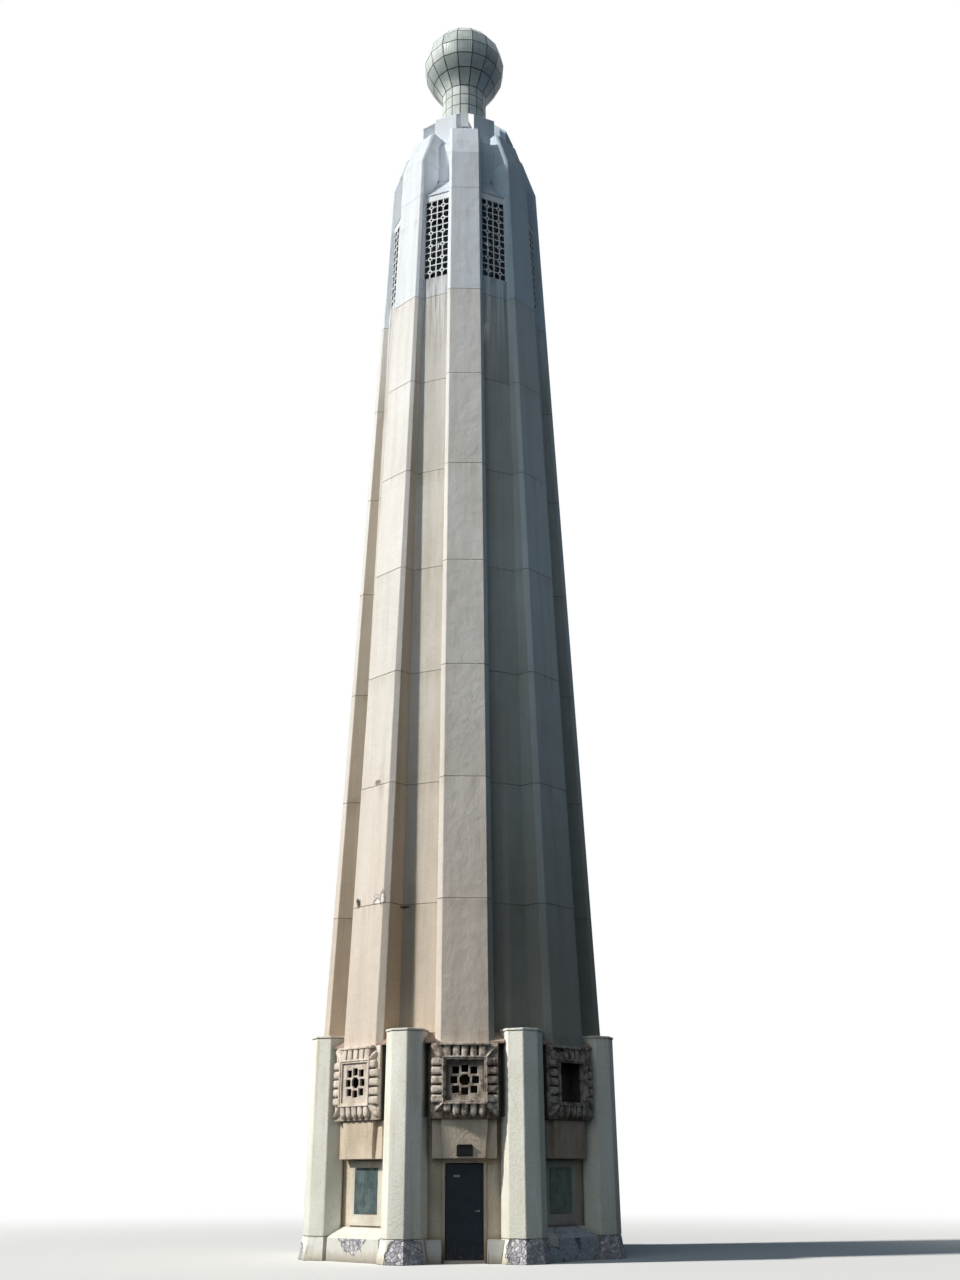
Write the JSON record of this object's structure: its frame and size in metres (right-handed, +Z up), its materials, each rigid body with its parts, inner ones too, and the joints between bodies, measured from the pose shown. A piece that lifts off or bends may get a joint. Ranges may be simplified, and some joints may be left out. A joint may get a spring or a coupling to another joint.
{
  "type": "memorial tower",
  "caption": "Tall octagonal ribbed concrete memorial tower with corner piers, carved bays, a metal door, a pierced belfry and a paned glass bulb on top.",
  "frame": {"origin": "centre of the tower on the ground, in the underside of the floor slab", "axes": "+Z up along the tower; -Y is the side with the door; +X to the right when facing the door"},
  "size_m": [7.6364, 7.6364, 39.1796],
  "materials": {
    "shaft_concrete": "rough cast concrete",
    "base_stucco": "painted stucco",
    "carved_concrete": "stained cast concrete",
    "bronze": "weathered green bronze",
    "door_metal": "dark painted steel",
    "steel": "worn steel",
    "white_metal": "painted",
    "frame_metal": "dark green-black paint",
    "glass": "cloudy cast glass"
  },
  "bodies": {
    "tower": {"bay_copings": "base_stucco", "bay_corbels": "base_stucco", "bay_plinths": "base_stucco", "bay_walls": "shaft_concrete", "belfry_grilles": "shaft_concrete", "belfry_ledges": "shaft_concrete", "bulb_cap_panes": "glass", "bulb_collar": "white_metal", "bulb_frame": "frame_metal", "bulb_panes": "glass", "carved_grates": "carved_concrete", "carved_panels": "carved_concrete", "crown_blocks": "shaft_concrete", "crown_rib_tips": "shaft_concrete", "crown_ribs": "shaft_concrete", "door_plinths": "base_stucco", "door_surround": "base_stucco", "door_threshold": "shaft_concrete", "doorway_head": "shaft_concrete", "doorway_jambs": "shaft_concrete", "drum_roof": "shaft_concrete", "drum_walls": "shaft_concrete", "floor_slab": "shaft_concrete", "hinge_brackets": "steel", "pier_caps": "base_stucco", "pier_feet": "base_stucco", "pier_walls": "shaft_concrete", "piers": "base_stucco", "rib_feet": "shaft_concrete", "rib_lifts_even": "shaft_concrete", "rib_lifts_odd": "shaft_concrete", "tablet_surrounds": "base_stucco", "tablets": "bronze", "vent_plate": "door_metal", "wall_lifts_even": "shaft_concrete", "wall_lifts_odd": "shaft_concrete"},
    "door": {"door_handle": "steel", "door_leaf": "door_metal", "hinge_barrels": "steel"}
  },
  "joints": [
    {"name": "door_hinge", "type": "hinge", "parent": "tower", "child": "door", "pos_m": [-0.428, -3.045, 1], "axis": [0, 0, 1], "range_deg": [0, 90]}
  ]
}
